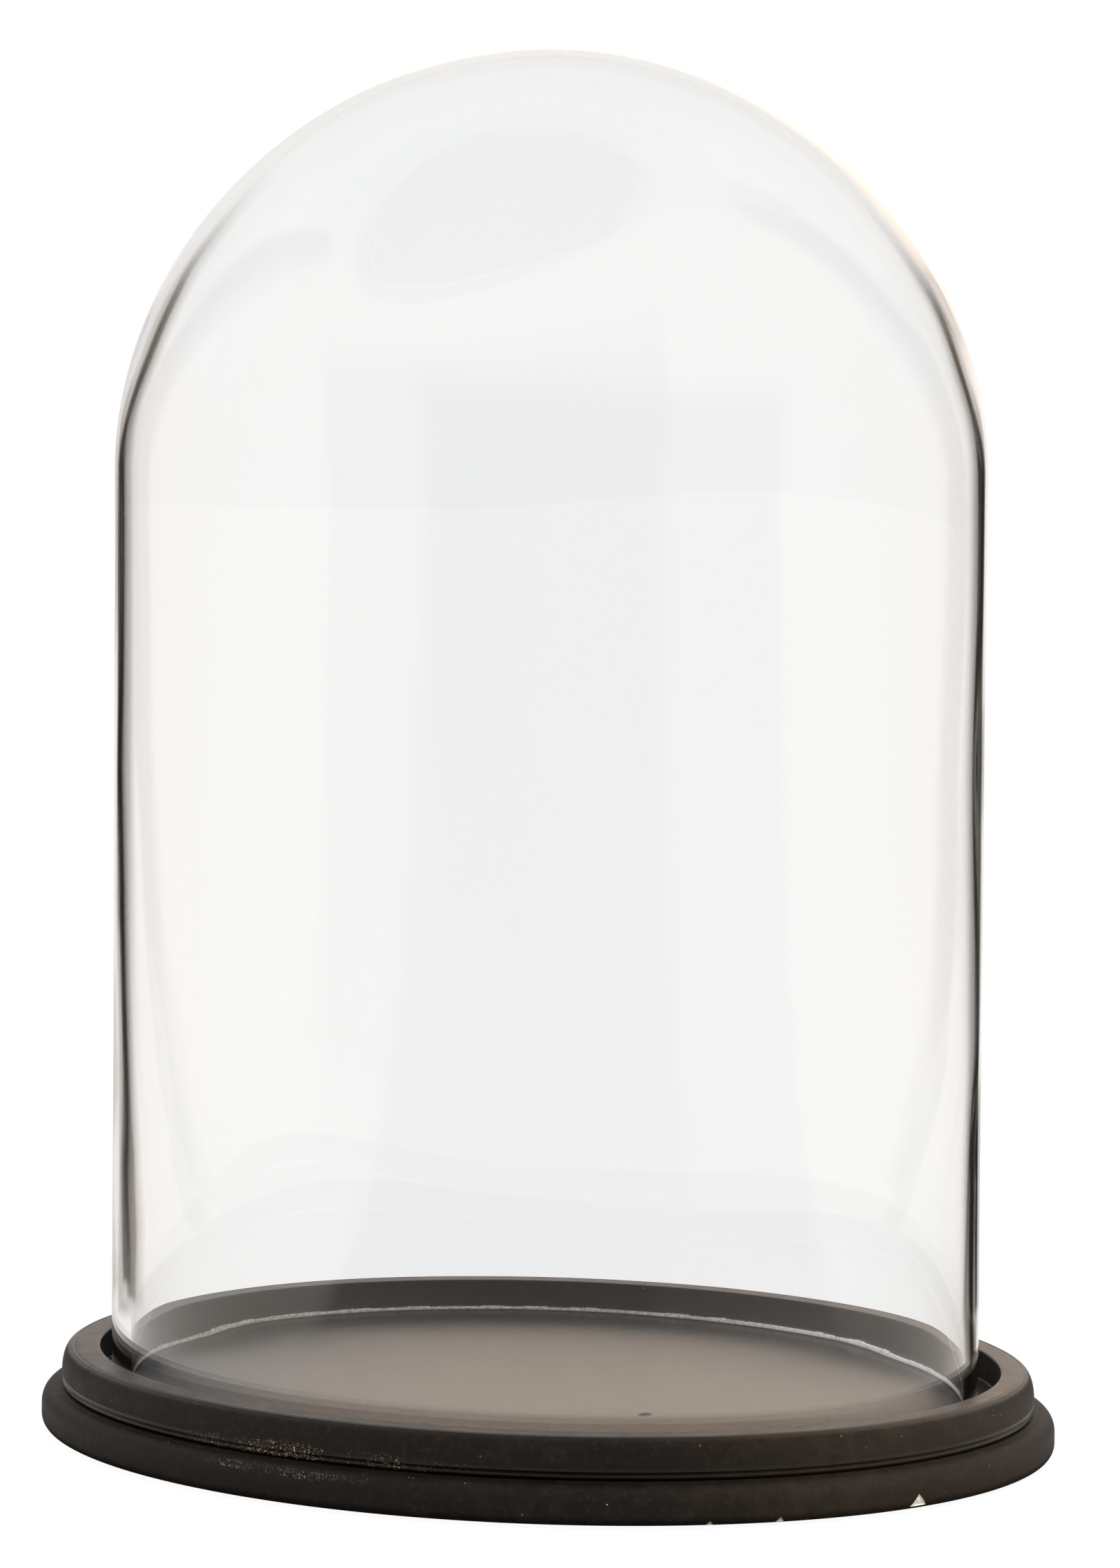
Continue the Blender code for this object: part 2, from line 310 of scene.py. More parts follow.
# The lower board's profile.
PLINTH_LEDGE = 0.0028
PLINTH_LEDGE_DROP = 0.0002
PLINTH_EDGE, PLINTH_FOOT = (0.0050, 0.0052), (0.0022, 0.0028)  # roundings, outwards and upwards
PLINTH_FULLNESS = 0.86  # 1 is an ellipse, less is squarer
PLINTH_WOBBLE = 0.00006
ON_ROUNDING = 0.7  # about halfway round a rounded edge, in its radii


def plinth_board():
    """Lower board: ledge under the upper one, rounded edge, upright side, rounded foot."""
    edge = (PLINTH_REACH - PLINTH_EDGE[0], SEAM - PLINTH_LEDGE_DROP - PLINTH_EDGE[1])
    foot = (PLINTH_REACH - PLINTH_FOOT[0], BOARD_BOTTOM + PLINTH_FOOT[1])
    profile = [(FLAT_REACH, SEAM), (0.0, SEAM), (PLINTH_LEDGE, SEAM)]
    profile += line((PLINTH_LEDGE, SEAM), (edge[0], edge[1] + PLINTH_EDGE[1]), 4)[:-1]
    for reach, height in arc((0.0, 0.0), (1.0, 1.0), 90, 0, 18):
        out, up = max(reach, TINY) ** PLINTH_FULLNESS, max(height, TINY) ** PLINTH_FULLNESS
        profile.append((edge[0] + PLINTH_EDGE[0] * out, edge[1] + PLINTH_EDGE[1] * up))
    profile += line((PLINTH_REACH, edge[1]), (PLINTH_REACH, foot[1]), 10)[:-1]
    profile += arc(foot, PLINTH_FOOT, 0, -90, 24)
    profile += [(FLAT_REACH, BOARD_BOTTOM)]

    def shape_point(place, angle):
        reach, height = place
        outside = 1.0 if reach > 0.004 else 0.0
        wobble = PLINTH_WOBBLE * waves(angle, 21) * outside
        return reach + wobble, np.full_like(angle, height), np.zeros(2)

    obj = swept("plinth_board_wood", profile, shape_point, CHIPS)
    edge_line = (edge[0] + PLINTH_EDGE[0] * ON_ROUNDING, edge[1] + PLINTH_EDGE[1] * ON_ROUNDING)
    foot_line = (foot[0] + PLINTH_FOOT[0] * ON_ROUNDING, foot[1] - PLINTH_FOOT[1] * ON_ROUNDING)
    edge_wear(obj, [edge_line, foot_line], spread=0.0012)
    return obj


def cut_bores(obj):
    """Countersunk holes for the screws, cut from beneath."""
    shape = bmesh.new()
    for number in range(1, SCREW_COUNT + 1):
        low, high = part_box(f"screw_{number}")
        middle = (low + high) / 2
        head = (high.x - low.x) / 2 + GAP
        shank = SCREW_SHANK_RADIUS + GAP
        outline = [
            (head, low.z - BORE_RUN_OUT),
            (head, low.z + SCREW_HEAD_EDGE),
            (shank, low.z + SCREW_HEAD_HEIGHT),
            (shank, high.z + GAP),
        ]
        rings = []
        for radius, height in outline:
            ring = []
            for step in range(BORE_SIDES):
                turn = 2 * math.pi * step / BORE_SIDES
                point = (middle.x + radius * math.cos(turn), middle.y + radius * math.sin(turn), height)
                ring.append(shape.verts.new(point))
            rings.append(ring)
        for lower, upper in zip(rings, rings[1:]):
            for step in range(BORE_SIDES):
                after = (step + 1) % BORE_SIDES
                shape.faces.new((lower[step], lower[after], upper[after], upper[step]))
        shape.faces.new(rings[0][::-1])
        shape.faces.new(rings[-1])
    cutter_mesh = bpy.data.meshes.new("bores")
    shape.to_mesh(cutter_mesh)
    shape.free()
    cutter = new_object("bores", cutter_mesh)
    remove = obj.modifiers.new("bores", "BOOLEAN")
    remove.operation = "DIFFERENCE"
    remove.solver = "EXACT"
    remove.object = cutter
    bpy.context.view_layer.update()
    graph = bpy.context.evaluated_depsgraph_get()
    mesh = bpy.data.meshes.new_from_object(obj.evaluated_get(graph))
    obj.modifiers.clear()
    obj.data = mesh
    bpy.data.objects.remove(cutter, do_unlink=True)


# ---- glass -------------------------------------------------------------------------------------

# Where the wall isn't GLASS_WALL thick. Each pair of heights runs from no change to all of it.
CROWN_MORE, CROWN_MIDDLE, CROWN_SPREAD = 0.0021, 0.352, 0.045
FOOT_MORE, FOOT_START, FOOT_RUN = 0.0010, 0.110, 0.070
LEFT_MORE, LEFT_HEIGHTS = 0.0006, (0.200, 0.140)
LEFT_FOOT_MORE, LEFT_FOOT_HEIGHTS = 0.0016, (0.150, 0.080)
LEFT_SIDE = (-0.2, 1.0)
RIGHT_LESS, RIGHT_TOP, RIGHT_FOOT = 0.0007, (0.200, 0.140), (0.080, 0.120)

OUTER_WAVES, INNER_WAVES = (31, 0.00010), (32, 0.00030)  # seed and size
GRIND_DEPTH = 0.00012  # unevenness of the ground edge


def eased(value, start, end):
    """0 before start, 1 after end, smooth between; start may be above end."""
    share = np.clip((value - start) / (end - start), 0, 1)
    return share * share * (3 - 2 * share)


def wall_at(height, side=0.0):
    """Thickness of the glass. Side runs from -1, left as the camera sees it, to 1, right."""
    crown = np.exp(-(((height - CROWN_MIDDLE) / CROWN_SPREAD) ** 2))
    low = np.clip((FOOT_START - height) / FOOT_RUN, 0, 1) ** 1.5
    left = LEFT_MORE * eased(height, *LEFT_HEIGHTS) + LEFT_FOOT_MORE * eased(height, *LEFT_FOOT_HEIGHTS)
    left = left * eased(-side, *LEFT_SIDE)
    right = np.clip(side, 0, 1) ** 6 * RIGHT_LESS * eased(height, *RIGHT_TOP) * eased(height, *RIGHT_FOOT)
    return GLASS_WALL + CROWN_MORE * crown + FOOT_MORE * low + left - right


def blown_waves(angle, z, seed):
    """Slow waves in a blown face, round it and curling as they climb."""
    offset = np.zeros(z.shape)
    random = np.random.default_rng(seed)
    for number in range(2, 8):
        phase, swing = random.uniform(0, 2 * math.pi, 2)
        rate = random.uniform(12, 55)
        curl = 0.6 * np.sin(rate * z + swing)
        offset += np.sin(number * angle[None, :] + phase + curl) / number
    return offset - offset.max()


def ground_lip(angle, outer, inner):
    """Rings round the foot, from the outer face to the inner one, with an uneven ground edge."""
    lip = []
    middle, half = (outer + inner) / 2, (outer - inner) / 2
    for turn in np.linspace(0, math.pi, LIP_RINGS)[1:-1]:
        point = middle + half * math.cos(turn)
        grind = GRIND_DEPTH * waves(angle, 41 + int(turn * 10), count=40, lowest=5)
        drop = LIP_HEIGHT * math.sin(turn) ** LIP_FULLNESS
        point[:, 2] = GLASS_FOOT + LIP_HEIGHT - drop + np.maximum(grind, 0) * math.sin(turn)
        lip.append(point)
    return lip


def glass_dome():
    """The blown dome: outer and inner faces with slightly uneven walls, and a ground foot."""
    angle = np.linspace(0, 2 * math.pi, GLASS_AROUND, endpoint=False)
    rise = GLASS_TOP - SPRING_LINE
    heights = list(GLASS_FOOT + np.arange(FOOT_RINGS) * GROUND_STEP + LIP_HEIGHT)
    heights += list(np.linspace(heights[-1] + MM, SPRING_LINE, WALL_RINGS, endpoint=False))
    sizes = [1.0] * len(heights)
    for turn in np.linspace(0, math.pi / 2, CROWN_RINGS)[:-1]:
        sizes.append(math.cos(turn) ** (2 / CROWN_FULLNESS))
        heights.append(SPRING_LINE + rise * math.sin(turn) ** (2 / CROWN_FULLNESS))
    sizes, heights = np.array(sizes), np.array(heights)
    sizes = sizes * (1 - GLASS_TAPER * np.clip((heights - TAPER_START) / TAPER_RUN, 0, 1))

    x = sizes[:, None] * (GLASS_HALF * np.cos(angle)) + GLASS_SHIFT
    y = sizes[:, None] * (GLASS_HALF_SHORT * np.sin(angle))
    z = np.repeat(heights[:, None], len(angle), axis=1)
    outer = np.stack([x, y, z], axis=2)

    up = np.gradient(outer, axis=0)
    along = (np.roll(outer, -1, axis=1) - np.roll(outer, 1, axis=1)) / 2
    normals = np.cross(along, up)
    normals /= np.linalg.norm(normals, axis=2)[:, :, None]

    wall = wall_at(heights[:, None], (x * SIDE.x + y * SIDE.y) / GLASS_HALF)
    wall[:FOOT_RINGS] = wall[FOOT_RINGS]
    inner = outer - normals * wall[:, :, None]
    fade = np.clip((GLASS_TOP - 0.012 - heights) / 0.03, 0, 1)[:, None]
    for layer, (seed, size) in ((outer, OUTER_WAVES), (inner, INNER_WAVES)):
        layer += normals * (size * blown_waves(angle, z, seed) * fade)[:, :, None]

    lip = ground_lip(angle, outer[0], inner[0])
    rings = list(outer[::-1]) + lip + list(inner)
    top_outer = (GLASS_SHIFT, 0.0, GLASS_TOP)
    top_inner = (GLASS_SHIFT, 0.0, GLASS_TOP - wall_at(GLASS_TOP))
    count = len(rings) * GLASS_AROUND
    faces = grid_faces(len(rings), GLASS_AROUND)
    sides = len(faces)
    last = (len(rings) - 1) * GLASS_AROUND
    for step in range(GLASS_AROUND):
        after = (step + 1) % GLASS_AROUND
        faces.append((count, after, step))
        faces.append((count + 1, last + step, last + after))
    points = list(np.concatenate(rings)) + [top_outer, top_inner]
    mesh = solid_mesh("glass_dome_clear", points, faces)

    # The ground band climbs unevenly up both faces, higher on the +X side.
    climb = 0.6 * waves(angle, 51, count=60, lowest=3) + 1.5 * np.clip(np.cos(angle - 0.35), 0, 1)
    climb = np.clip(climb * 1.6, 0, 5)
    lip_start = len(outer) - 1
    lip_end = len(outer) + len(lip)
    for index, face in enumerate(mesh.polygons):
        if index >= sides:
            face.material_index = (index - sides) % 2
            continue
        row, column = divmod(index, GLASS_AROUND)
        if row < lip_start:
            ground = lip_start - 1 - row < climb[column]
            face.material_index = 2 if ground else 0
        elif row < lip_end:
            face.material_index = 2
        else:
            ground = row - lip_end < climb[column]
            face.material_index = 2 if ground else 1
    return new_object("glass_dome_clear", mesh)


# ---- node helpers ------------------------------------------------------------------------------

class Nodes:
    """Short calls for building one material."""

    def __init__(self, name, world=None):
        self.material = world or bpy.data.materials.new(name)
        self.material.use_nodes = True
        self.tree = self.material.node_tree
        self.shader = self.tree.nodes.get("Principled BSDF")
        self.output = self.tree.nodes.get("Material Output")

    def node(self, kind, **values):
        made = self.tree.nodes.new(kind)
        for key, value in values.items():
            setattr(made, key, value)
        return made

    def link(self, source, target):
        self.tree.links.new(source, target)

    def position(self, scale=(1.0, 1.0, 1.0)):
        """The object's own coordinates, stretched."""
        place = self.node("ShaderNodeTexCoord")
        stretch = self.node("ShaderNodeMapping")
        stretch.inputs["Scale"].default_value = scale
        self.link(place.outputs["Object"], stretch.inputs["Vector"])
        return stretch.outputs["Vector"]

    def noise(self, vector, scale, detail=4.0, roughness=0.5, distortion=0.0):
        made = self.node("ShaderNodeTexNoise")
        made.inputs["Scale"].default_value = scale
        made.inputs["Detail"].default_value = detail
        made.inputs["Roughness"].default_value = roughness
        made.inputs["Distortion"].default_value = distortion
        self.link(vector, made.inputs["Vector"])
        return made.outputs["Fac"]

    def ramp(self, value, stops):
        """Colours by value: stops are (position, colour)."""
        made = self.node("ShaderNodeValToRGB")
        elements = made.color_ramp.elements
        while len(elements) > 1:
            elements.remove(elements[-1])
        for index, (position, colour) in enumerate(stops):
            element = elements[0] if index == 0 else elements.new(position)
            element.position = position
            element.color = (*colour, 1.0)
        self.link(value, made.inputs["Fac"])
        return made.outputs["Color"]

    def steps(self, value, low, high):
        """0 below low, 1 above high, smooth between."""
        made = self.node("ShaderNodeMapRange")
        made.interpolation_type = "SMOOTHSTEP"
        made.inputs["From Min"].default_value = low
        made.inputs["From Max"].default_value = high
        self.link(value, made.inputs["Value"])
        return made.outputs["Result"]

    def maths(self, operation, first, second=None, third=None):
        made = self.node("ShaderNodeMath", operation=operation)
        for socket, value in zip(made.inputs, (first, second, third)):
            if value is None:
                continue
            if isinstance(value, (int, float)):
                socket.default_value = value
            else:
                self.link(value, socket)
        return made.outputs["Value"]

    def vectors(self, operation, first, second, output="Vector"):
        """An operation on two vectors. Each may be a socket or a fixed value."""
        made = self.node("ShaderNodeVectorMath", operation=operation)
        for socket, value in zip(made.inputs, (first, second)):
            if isinstance(value, (tuple, Vector)):
                socket.default_value = tuple(value)
            else:
                self.link(value, socket)
        return made.outputs[output]

    def along(self, vector, axis):
        """How far a vector reaches along an axis."""
        return self.vectors("DOT_PRODUCT", vector, axis, output="Value")

    def length(self, vector):
        made = self.node("ShaderNodeVectorMath", operation="LENGTH")
        self.link(vector, made.inputs[0])
        return made.outputs["Value"]

    def scaled(self, vector, size):
        """A vector or colour, fixed or not, times a value."""
        made = self.node("ShaderNodeVectorMath", operation="SCALE")
        if isinstance(vector, (tuple, Vector)):
            made.inputs[0].default_value = tuple(vector)
        else:
            self.link(vector, made.inputs[0])
        self.link(size, made.inputs["Scale"])
        return made.outputs["Vector"]

    def axes(self, vector):
        """The X, Y and Z of a vector, by name."""
        made = self.node("ShaderNodeSeparateXYZ")
        self.link(vector, made.inputs["Vector"])
        return made.outputs

    def mix(self, share, first, second):
        """Blend of two colours."""
        made = self.node("ShaderNodeMix", data_type="RGBA")
        for name, value in (("Factor_Float", share), ("A_Color", first), ("B_Color", second)):
            socket = next(s for s in made.inputs if s.identifier == name)
            if isinstance(value, (int, float)):
                socket.default_value = value
            elif isinstance(value, tuple):
                socket.default_value = (*value, 1.0)
            else:
                self.link(value, socket)
        return next(s for s in made.outputs if s.identifier == "Result_Color")

    def attribute(self, name):
        made = self.node("ShaderNodeAttribute", attribute_name=name)
        return made.outputs["Fac"]

    def bump(self, height, distance, strength=1.0, under=None):
        made = self.node("ShaderNodeBump")
        made.inputs["Strength"].default_value = strength
        made.inputs["Distance"].default_value = distance
        self.link(height, made.inputs["Height"])
        if under is not None:
            self.link(under, made.inputs["Normal"])
        return made.outputs["Normal"]


# ---- materials ---------------------------------------------------------------------------------

STAIN_DARK, STAIN_LIGHT = (0.0017, 0.0011, 0.0008), (0.0048, 0.0031, 0.0021)
DUST, GRIME = (0.024, 0.018, 0.013), (0.026, 0.019, 0.013)
PALER_TONE = (0.058, 0.042, 0.029)
PALER_SIDE = (0.060, 0.150)  # the colour turns paler over this stretch, towards +X
# The second colour is a painted highlight, for bright specks standing in for glints.
RUBBED, PAINTED_GLINT = (0.11, 0.080, 0.055), (0.55, 0.44, 0.30)
RAW_DARK, RAW_PALE = (0.70, 0.62, 0.52), (0.90, 0.88, 0.84)
SPOT = (0.006, 0.004, 0.003)
WOOD_ROUGHNESS = 0.38
UPRIGHT_ROUGHER, FLOOR_SMOOTHER, SPOT_ROUGHER, WORN_ROUGHER = 0.24, 0.11, 0.30, 0.3
FLOOR_CALM = 0.92  # how far the pocket floor is free of dust and uneven gloss
SPECKS = (  # cells to the metre, size in cells, chance, colour
    (130.0, 0.038, 0.60, (0.60, 0.56, 0.50)),
    (330.0, 0.080, 0.60, (0.22, 0.19, 0.16)),
)


def region(make, centre, sizes):
    """1 at a place on the object, falling to 0 over these distances along each axis."""
    place = make.node("ShaderNodeTexCoord").outputs["Object"]
    away = make.vectors("SUBTRACT", place, centre)
    return make.steps(make.length(make.vectors("DIVIDE", away, sizes)), 1.0, 0.4)


def rubbed_and_highlit_marks(make, colour, marks):
    """The colour with each mark's patch of rubbed wood, partly painted highlight, and painted glints laid
    over it.
    """
    place = make.position()
    for centre, sizes, threshold, tone in marks:
        near = region(make, centre, sizes)
        streaks = make.noise(make.position((0.5, 0.5, 1.0)), 1100.0, detail=5.0, roughness=0.75)
        broken = make.steps(streaks, threshold, threshold + 0.08)
        gaps = make.steps(make.noise(place, 75.0, detail=2.0), 0.34, 0.66)
        amount = make.maths("MULTIPLY", make.maths("MULTIPLY", near, broken), gaps)
        colour = make.mix(amount, colour, tone)
        # Painted highlight: bright specks standing in for glints.
        painted_glints = make.steps(make.noise(place, 2300.0, detail=2.0), 0.62, 0.67)
        amount = make.maths("MULTIPLY", make.maths("MULTIPLY", near, painted_glints), gaps)
        colour = make.mix(amount, colour, PAINTED_GLINT)
    return colour


def specked(make, colour):
    """The colour with fine flecks of dust."""
    place = make.position()
    for scale, size, chance, tone in SPECKS:
        specks = make.node("ShaderNodeTexVoronoi", feature="F1")
        specks.inputs["Scale"].default_value = scale
        make.link(place, specks.inputs["Vector"])
        dot = make.maths("LESS_THAN", specks.outputs["Distance"], size)
        some = make.maths("GREATER_THAN", make.noise(place, 60.0 + 0.1 * scale, detail=1.0), chance)
        fleck = make.maths("MULTIPLY", dot, some)
        colour = make.mix(make.maths("MULTIPLY", fleck, 0.55), colour, tone)
    return colour


def stained_wood(name, seed, marks, floor_height=None):
    """Black-brown stain under a satin wax, with fine grain, dust, rubbed beads with painted highlights and
    glints, and raw chips.
    """
    make = Nodes(name)
    shader = make.shader
    place = make.position()
    long_grain, long_pores = make.position((9.0, 120.0, 120.0)), make.position((60.0, 900.0, 900.0))
    grain = make.noise(long_grain, 4.0 + seed, detail=6.0, roughness=0.65, distortion=0.4)
    pores = make.noise(long_pores, 3.0, detail=2.0)
    cloud = make.noise(place, 22.0 + seed, detail=3.0)
    blotch = make.noise(place, 150.0 + 10 * seed, roughness=0.6)
    fine = make.noise(place, 1900.0, detail=3.0, roughness=0.6)

    axis = make.axes(place)
    polished = 0.0
    if floor_height is not None:
        polished = make.steps(axis["Z"], floor_height + 0.0009, floor_height + 0.0003)
    rest = make.maths("MULTIPLY_ADD", polished, -FLOOR_CALM, 1.0)

    colour = make.ramp(grain, [(0.30, STAIN_DARK), (0.70, STAIN_LIGHT)])
    dusty = make.maths("MULTIPLY", make.steps(cloud, 0.42, 0.75), make.steps(blotch, 0.40, 0.70))
    dusty = make.maths("MULTIPLY", dusty, rest)
    colour = make.mix(make.maths("MULTIPLY", dusty, 0.30), colour, DUST)
    grime = make.steps(make.noise(place, 520.0, detail=5.0, roughness=0.7), 0.50, 0.68)
    grime = make.maths("MULTIPLY", grime, rest)
    colour = make.mix(make.maths("MULTIPLY", grime, 0.35), colour, GRIME)

    # A paler tone towards +X, stronger on the rim top.
    paler = make.maths("MULTIPLY_ADD", blotch, 0.7, 0.15)
    paler = make.maths("MULTIPLY", make.steps(axis["X"], *PALER_SIDE), paler)
    top = make.steps(axis["Z"], RIM_TOP - 0.0012, RIM_TOP - 0.0002)
    paler = make.maths("MULTIPLY", paler, make.maths("MULTIPLY_ADD", top, 1.1, 0.60))
    colour = make.mix(paler, colour, PALER_TONE)

    patch = make.steps(make.noise(place, 34.0 + seed, detail=2.0), 0.56, 0.70)
    speckle = make.steps(fine, 0.55, 0.70)
    rub = make.maths("MULTIPLY", make.maths("MULTIPLY", make.attribute("worn"), patch), speckle)
    colour = make.mix(make.maths("MULTIPLY", rub, 0.45), colour, RUBBED)
    colour = specked(make, rubbed_and_highlit_marks(make, colour, marks))

    chip = make.steps(make.attribute("chipped"), 0.15, 0.45)
    raw = make.ramp(make.noise(place, 1300.0, detail=3.0), [(0.30, RAW_DARK), (0.46, RAW_PALE)])
    colour = make.mix(chip, colour, raw)

    streaky = make.maths("MULTIPLY", rest, 0.08)
    rough = make.maths("MULTIPLY_ADD", make.maths("SUBTRACT", grain, 0.5), streaky, WOOD_ROUGHNESS)
    uneven = make.maths("MULTIPLY", make.maths("SUBTRACT", blotch, 0.5), make.maths("MULTIPLY", rest, 0.16))
    rough = make.maths("ADD", rough, uneven)
    upright = make.steps(axis["Z"], RIM_TOP - 0.0003, RIM_TOP - 0.0014)
    if floor_height is not None:
        upright = make.maths("SUBTRACT", upright, polished)
        rough = make.maths("SUBTRACT", rough, make.maths("MULTIPLY", polished, FLOOR_SMOOTHER))
        stain = region(make, STAIN_SPOT, STAIN_SIZES)
        rough = make.maths("MULTIPLY_ADD", stain, SPOT_ROUGHER, rough)
        colour = make.mix(make.maths("MULTIPLY", stain, 0.8), colour, SPOT)
    rough = make.maths("MULTIPLY_ADD", upright, UPRIGHT_ROUGHER, rough)
    worn = make.maths("MULTIPLY", make.maths("ADD", rub, chip), WORN_ROUGHER)
    make.link(colour, shader.inputs["Base Color"])
    make.link(make.maths("ADD", rough, worn), shader.inputs["Roughness"])
    shader.inputs["IOR"].default_value = 1.30

    normal = make.bump(grain, 0.01 * MM, strength=0.3)
    normal = make.bump(pores, 0.005 * MM, strength=0.3, under=normal)
    normal = make.bump(make.noise(place, 70.0, detail=1.0), 0.02 * MM, strength=0.3, under=normal)
    pitted = make.maths("MULTIPLY", make.noise(place, 520.0, roughness=0.65), upright)
    normal = make.bump(pitted, 0.05 * MM, strength=0.5, under=normal)
    normal = make.bump(fine, 0.01 * MM, strength=0.5, under=normal)
    make.link(normal, shader.inputs["Normal"])
    return make.material


GLASS_TINT = (0.962, 0.968, 0.971)
# Painted shade and light on the outer face, by how far it turns from the eye, 0 to 1, after the shifts
# below: a dark line standing in for refraction shade, then warmer and paler tones out to the outline.
PAINTED_EDGE_STOPS = (
    (0.00, GLASS_TINT),
    (0.742, GLASS_TINT),
    (0.770, (0.66, 0.65, 0.64)),
    (0.796, (0.38, 0.37, 0.36)),
    (0.810, (0.050, 0.044, 0.038)),
    (0.842, (0.050, 0.038, 0.028)),
    (0.858, (0.40, 0.29, 0.19)),
    (0.872, (0.88, 0.86, 0.83)),
    (1.000, (0.92, 0.92, 0.92)),
)
LOW_HEIGHTS = (0.150, 0.060)  # the line wanders most, and lies further in, down here
LOW_FURTHER = 0.100
SWAY, SWAY_LOW_MORE = 0.03, 0.03
LEAN, LEAN_HEIGHTS = -0.42, (0.200, 0.140)  # to the metre across: further in on the left
CROWN_FURTHER = 0.130
PAINTED_OUTLINE_TINT = (0.64, 0.74, 0.92)  # painted light: a cooler tint just inside the crown's outline
STREAK_END, STREAK_SLANT = (0.034, 0.028), 0.085  # the line stops above the foot

# Painted darker bands low on the front of the glass, by height over the rim in centimetres.
PAINTED_FOOT_BANDS = (
    (0.10, (0.44, 0.42, 0.41)),
    (0.12, (0.68, 0.67, 0.66)),
    (0.30, (0.70, 0.69, 0.68)),
    (0.32, (0.92, 0.92, 0.92)),
    (0.70, GLASS_TINT),
)
PAINTED_BANDS_FROM = (0.020, 0.050)  # this far ahead of the middle, towards the camera
TO_CENTIMETRES = 100.0


def painted_edge_shade(make):
    """Glass with painted shade: a thin dark line a little inside its outline, and painted darker bands at
    its foot.
    """
    facing = make.node("ShaderNodeLayerWeight")
    facing.inputs["Blend"].default_value = 0.5
    facing = facing.outputs["Facing"]
    place = make.position()
    height = make.axes(place)["Z"]
    normal = make.axes(make.node("ShaderNodeNewGeometry").outputs["Normal"])
    across = make.along(place, SIDE)
    low = make.steps(height, *LOW_HEIGHTS)
    sway = make.noise(make.position((3.0, 3.0, 1.0)), 26.0, detail=1.0)
    sway = make.maths("SUBTRACT", sway, 0.5)
    reach = make.maths("MULTIPLY_ADD", low, SWAY_LOW_MORE, SWAY)
    lean = make.maths("MULTIPLY", make.steps(height, *LEAN_HEIGHTS), across)
    lean = make.maths("MULTIPLY_ADD", lean, LEAN, make.maths("MULTIPLY", low, LOW_FURTHER))
    sway = make.maths("MULTIPLY_ADD", sway, reach, lean)
    inwards = make.maths("MULTIPLY", make.steps(normal["Z"], 0.0, 0.30), CROWN_FURTHER)
    shifted = make.maths("ADD", facing, make.maths("ADD", sway, inwards))
    edge = make.ramp(shifted, PAINTED_EDGE_STOPS)
    # Painted light: a cooler tint near the crown's outline.
    outermost = make.maths("MULTIPLY", make.steps(facing, 0.84, 0.93), make.steps(normal["Z"], 0.10, 0.35))
    edge = make.mix(outermost, edge, PAINTED_OUTLINE_TINT)

    # Painted reflection: darker bands low on the front of the glass, ahead of the middle.
    ahead = make.steps(make.along(place, -BACK), *PAINTED_BANDS_FROM)
    over_rim = make.maths("MULTIPLY_ADD", height, TO_CENTIMETRES, -TO_CENTIMETRES * RIM_TOP)
    glass_with_painted_bands = make.mix(ahead, GLASS_TINT, make.ramp(over_rim, PAINTED_FOOT_BANDS))
    crown = make.steps(normal["Z"], 0.40, 0.70)
    foot = make.steps(make.maths("MULTIPLY_ADD", across, STREAK_SLANT, height), *STREAK_END)
    return make.mix(make.maths("MAXIMUM", crown, foot), edge, glass_with_painted_bands)


def clear_glass(name, with_painted_edge):
    """Clear glass, with or without the painted dark edge line."""
    make = Nodes(name)
    shader = make.shader
    shader.inputs["Transmission Weight"].default_value = 1.0
    shader.inputs["Roughness"].default_value = 0.0
    shader.inputs["IOR"].default_value = 1.5
    shader.inputs["Base Color"].default_value = (*GLASS_TINT, 1.0)
    # Painted shade: the outer face's colour carries a dark line inside the outline and darker bands low on
    # its front.
    if with_painted_edge:
        make.link(painted_edge_shade(make), shader.inputs["Base Color"])
    return make.material


def ground_glass():
    """The ground foot of the dome: gritty white, greyer towards -X, with a faint painted glow, an emission
    standing in for light carried down the wall.
    """
    make = Nodes("ground_glass_foot")
    shader = make.shader
    shader.inputs["Roughness"].default_value = 0.6
    grit = make.noise(make.position(), 700.0, roughness=0.65)
    dull = make.ramp(grit, [(0.40, (0.36, 0.33, 0.29)), (0.62, (0.70, 0.68, 0.64))])
    white = make.ramp(grit, [(0.32, (0.55, 0.53, 0.50)), (0.50, (0.97, 0.96, 0.95))])
    # Greyer towards -X, whiter towards +X.
    colour = make.mix(make.steps(make.axes(make.position())["X"], -0.02, 0.08), dull, white)
    make.link(colour, shader.inputs["Base Color"])
    # Painted light: the same colour glows faintly, though the foot is no lamp.
    make.link(colour, shader.inputs["Emission Color"])
    shader.inputs["Emission Strength"].default_value = 0.25
    make.link(make.bump(grit, 0.2 * MM), shader.inputs["Normal"])
    return make.material


def screw_steel():
    """Dull steel with turning marks and a little tarnish."""
    make = Nodes("dull_screw_steel")
    shader = make.shader
    shader.inputs["Metallic"].default_value = 1.0
    stain = make.noise(make.position(), 420.0, detail=5.0)
    colour = make.ramp(stain, [(0.35, (0.20, 0.17, 0.14)), (0.62, (0.50, 0.48, 0.45))])
    make.link(colour, shader.inputs["Base Color"])
    rough = make.steps(stain, 0.9, 0.2)
    make.link(make.maths("ADD", make.maths("MULTIPLY", rough, 0.3), 0.28), shader.inputs["Roughness"])
    turned = make.noise(make.position((900.0, 900.0, 5200.0)), 2.0)
    make.link(make.bump(turned, 0.02 * MM), shader.inputs["Normal"])
    return make.material


